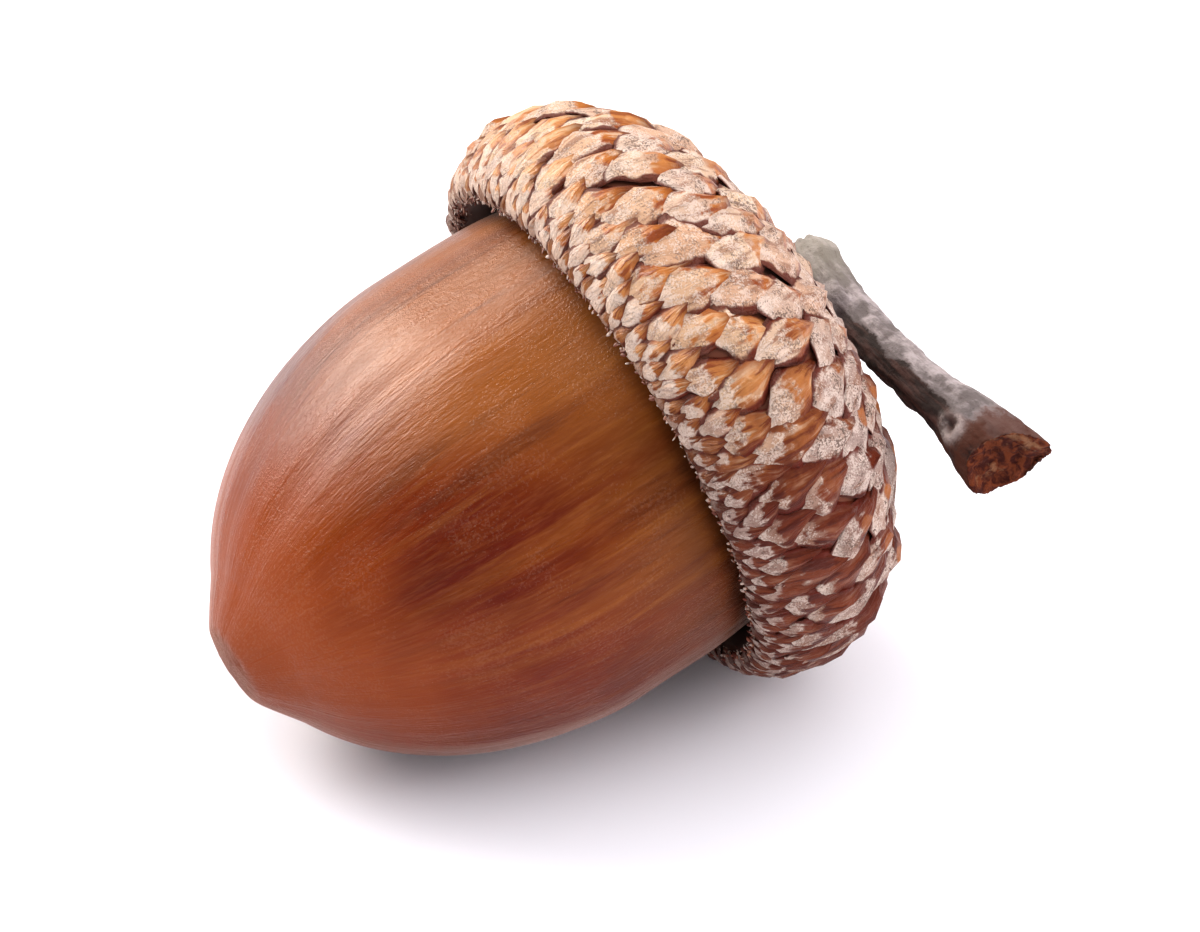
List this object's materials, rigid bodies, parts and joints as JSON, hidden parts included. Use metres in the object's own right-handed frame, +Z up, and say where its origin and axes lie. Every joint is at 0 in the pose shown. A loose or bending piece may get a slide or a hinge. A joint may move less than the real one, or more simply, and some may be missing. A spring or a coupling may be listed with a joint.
{
  "type": "acorn",
  "caption": "Ripe acorn lying on its side: a smooth pointed nut in a deep cup of overlapping woody scales, with a short bent stalk behind the cup.",
  "frame": {"origin": "on the surface that the acorn rests on, below the middle of the whole object's box", "axes": "+Z up; +X from the nut's tip towards the back of the cup, along the ground; the stalk turns towards -Y"},
  "size_m": [0.0308, 0.0252, 0.0245],
  "materials": {
    "nut_skin": "satin, finely streaked along the nut",
    "cup_scales": "matt, with greyish down on the scale tips and smooth amber keels",
    "stalk_bark": "rough weathered bark, torn at the free end"
  },
  "bodies": {
    "root": {"nut": "nut_skin", "cup": "cup_scales", "stalk": "stalk_bark"}
  },
  "joints": []
}
